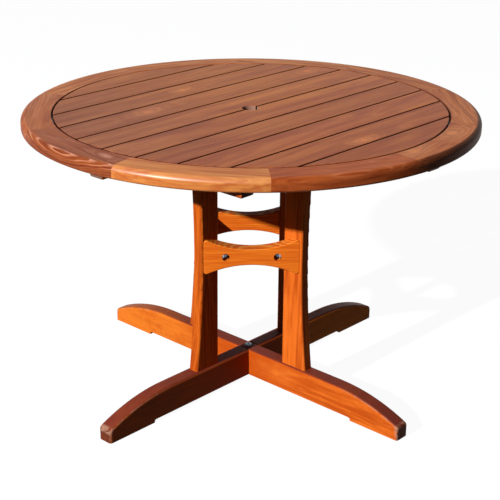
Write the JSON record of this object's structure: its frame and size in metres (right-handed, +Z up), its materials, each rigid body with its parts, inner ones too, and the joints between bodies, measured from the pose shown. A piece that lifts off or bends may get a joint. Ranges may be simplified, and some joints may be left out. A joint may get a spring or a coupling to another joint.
{
  "type": "round slatted patio table",
  "caption": "Round slatted wooden patio table with a segmented rim, a middle umbrella hole and a pedestal of hollow-edged posts, bow-tie rails and crossed arched base beams.",
  "frame": {"origin": "on the floor, under the middle of the umbrella hole", "axes": "+Z up, +X along the slats and the under beam, +Y along the over beam"},
  "size_m": [1.144, 1.144, 0.742],
  "materials": {
    "slat_wood": "satin stain, planed",
    "rim_wood": "satin stain, rounded edges",
    "rim_wood_light": "satin stain, lighter board",
    "frame_wood": "satin stain, planed",
    "steel": "zinc plated"
  },
  "bodies": {
    "root": {"arm_back_left": "frame_wood", "arm_back_right": "frame_wood", "arm_bolts": "steel", "arm_front_left": "frame_wood", "arm_front_right": "frame_wood", "arm_nuts": "steel", "arm_screws": "steel", "arm_washers": "steel", "base_beam_over": "frame_wood", "base_beam_under": "frame_wood", "batten_inner_back": "frame_wood", "batten_inner_front": "frame_wood", "batten_outer_back": "frame_wood", "batten_outer_front": "frame_wood", "lap_bolt": "steel", "lap_nut": "steel", "lap_washer": "steel", "post_back_left": "frame_wood", "post_back_right": "frame_wood", "post_front_left": "frame_wood", "post_front_right": "frame_wood", "post_lag_screws": "steel", "post_lag_washers": "steel", "rail_back": "frame_wood", "rail_front": "frame_wood", "rail_half_moon_washers": "steel", "rail_left": "frame_wood", "rail_nuts": "steel", "rail_right": "frame_wood", "rail_studs": "steel", "rim_screws": "steel", "rim_segment_01": "rim_wood", "rim_segment_02": "rim_wood", "rim_segment_03": "rim_wood", "rim_segment_04": "rim_wood", "rim_segment_05": "rim_wood", "rim_segment_06": "rim_wood_light", "rim_segment_07": "rim_wood", "rim_segment_08": "rim_wood", "rim_segment_09": "rim_wood", "rim_segment_10": "rim_wood", "rim_splines": "rim_wood", "slat_01": "slat_wood", "slat_02": "slat_wood", "slat_03": "slat_wood", "slat_04": "slat_wood", "slat_05": "slat_wood", "slat_06": "slat_wood", "slat_07": "slat_wood", "slat_08": "slat_wood", "slat_09": "slat_wood", "slat_10": "slat_wood", "slat_screws": "steel"}
  },
  "joints": []
}
